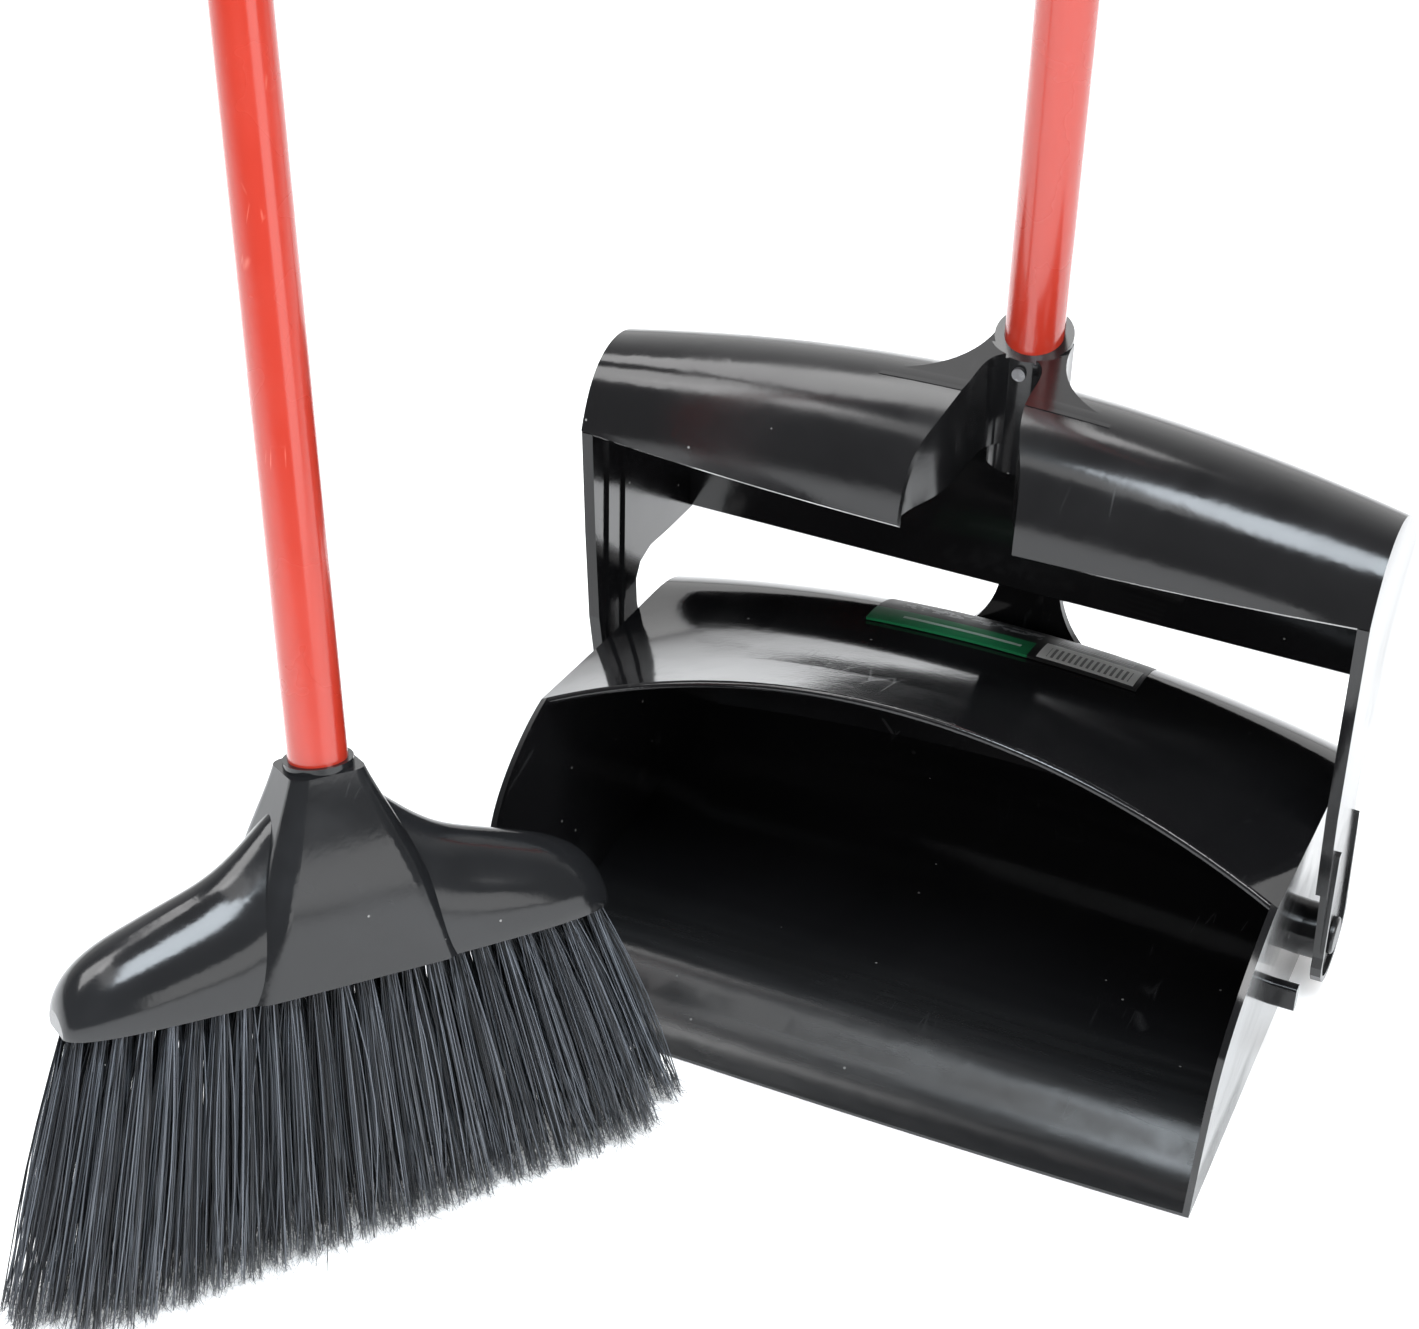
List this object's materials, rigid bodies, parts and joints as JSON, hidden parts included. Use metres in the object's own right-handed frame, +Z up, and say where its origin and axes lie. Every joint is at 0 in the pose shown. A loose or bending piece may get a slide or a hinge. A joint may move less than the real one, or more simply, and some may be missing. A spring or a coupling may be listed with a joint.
{
  "type": "dust pan and brush set",
  "caption": "Upright lobby dust pan with a pivoting yoke lid and long handle, and a loose angled broom with a long handle and fanned bristles.",
  "frame": {"origin": "on the floor, straight below the axis of the pan's handle", "axes": "+Z up along the pan's handle; +X along the pan's width, to the right as seen from its mouth; -Y out of the pan's mouth"},
  "size_m": [0.4602, 0.4499, 0.9331],
  "materials": {
    "pan_plastic": "moulded gloss black, light scuffs",
    "yoke_plastic": "moulded gloss black",
    "block_plastic": "moulded semi-gloss black",
    "label_film": "printed film, blank",
    "red_paint": "gloss red powder coat on steel tube",
    "plug_plastic": "moulded",
    "cap_plastic": "moulded black",
    "screw_steel": "zinc plated",
    "staple_steel": "bright wire",
    "bristle": "extruded filament, flagged tips"
  },
  "bodies": {
    "pan": {"pan_shell": "pan_plastic", "pan_label": "label_film", "pivot_pin_right": "yoke_plastic", "pivot_pin_left": "yoke_plastic"},
    "yoke": {"yoke_lid": "yoke_plastic", "pan_handle_tube": "red_paint", "pan_handle_plug": "plug_plastic", "pan_handle_screw": "screw_steel", "pan_hang_cap": "cap_plastic"},
    "broom": {"broom_block": "block_plastic", "tufts_front": "bristle", "tufts_middle_front": "bristle", "tufts_middle_back": "bristle", "tufts_back": "bristle", "tuft_staples": "staple_steel", "broom_handle_tube": "red_paint", "broom_handle_plug": "plug_plastic", "broom_handle_screw": "screw_steel", "broom_hang_cap": "cap_plastic"}
  },
  "joints": [
    {"name": "yoke_hinge", "type": "hinge", "parent": "pan", "child": "yoke", "pos_m": [0, -0.03, 0.026], "axis": [1, 0, 0], "range_deg": [0, 40]},
    {"name": "broom_lift", "type": "slide", "parent": "pan", "child": "broom", "axis": [0, 0, 1], "range_m": [0, 0.3]}
  ]
}
